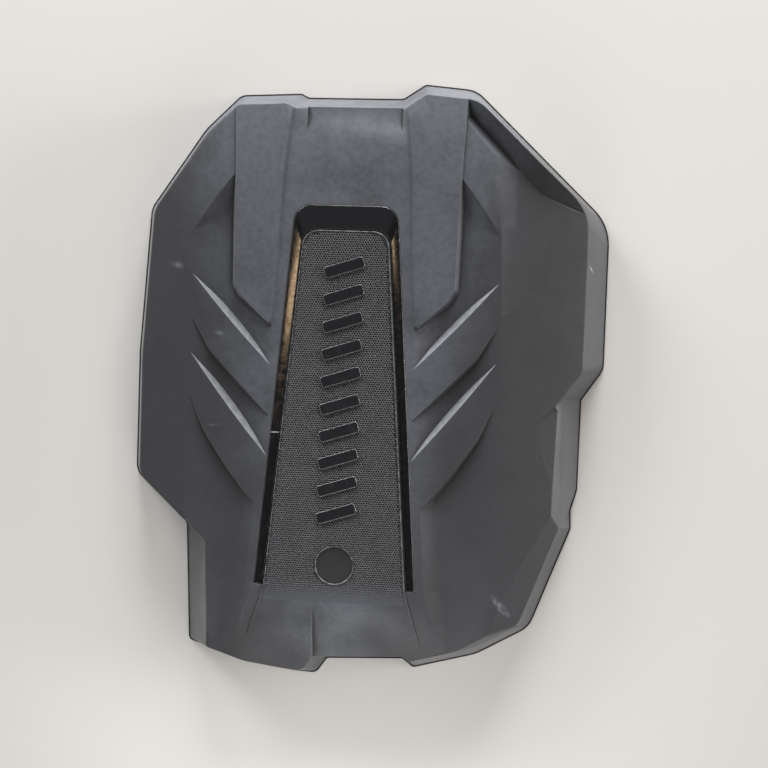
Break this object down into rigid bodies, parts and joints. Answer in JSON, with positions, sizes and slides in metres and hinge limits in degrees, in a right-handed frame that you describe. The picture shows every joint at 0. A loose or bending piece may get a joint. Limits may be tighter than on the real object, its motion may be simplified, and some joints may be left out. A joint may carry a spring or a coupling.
{
  "type": "engine cover",
  "caption": "Moulded engine cover with a raised spine, gill scoops on both wings, a gloss frame round a textured panel, drafted skirt and foam underside.",
  "frame": {"origin": "middle of the rim's box, on the plane that the foam lip rests on", "axes": "+X across the cover to the right as seen from above, +Y along the spine towards the wide top end, +Z out of the face"},
  "size_m": [0.43, 0.5456, 0.0658],
  "materials": {
    "moulded_shell": "fine moulded grain, worn along its crests",
    "gloss_black": "polished black",
    "foam": "open-cell black foam",
    "grommet_rubber": "matt moulded rubber"
  },
  "bodies": {
    "root": {"cover_shell": "moulded_shell", "gloss_frame": "gloss_black", "acoustic_pad": "foam", "grommet_upper_left": "grommet_rubber", "grommet_upper_right": "grommet_rubber", "grommet_lower_left": "grommet_rubber", "grommet_lower_right": "grommet_rubber"}
  },
  "joints": []
}
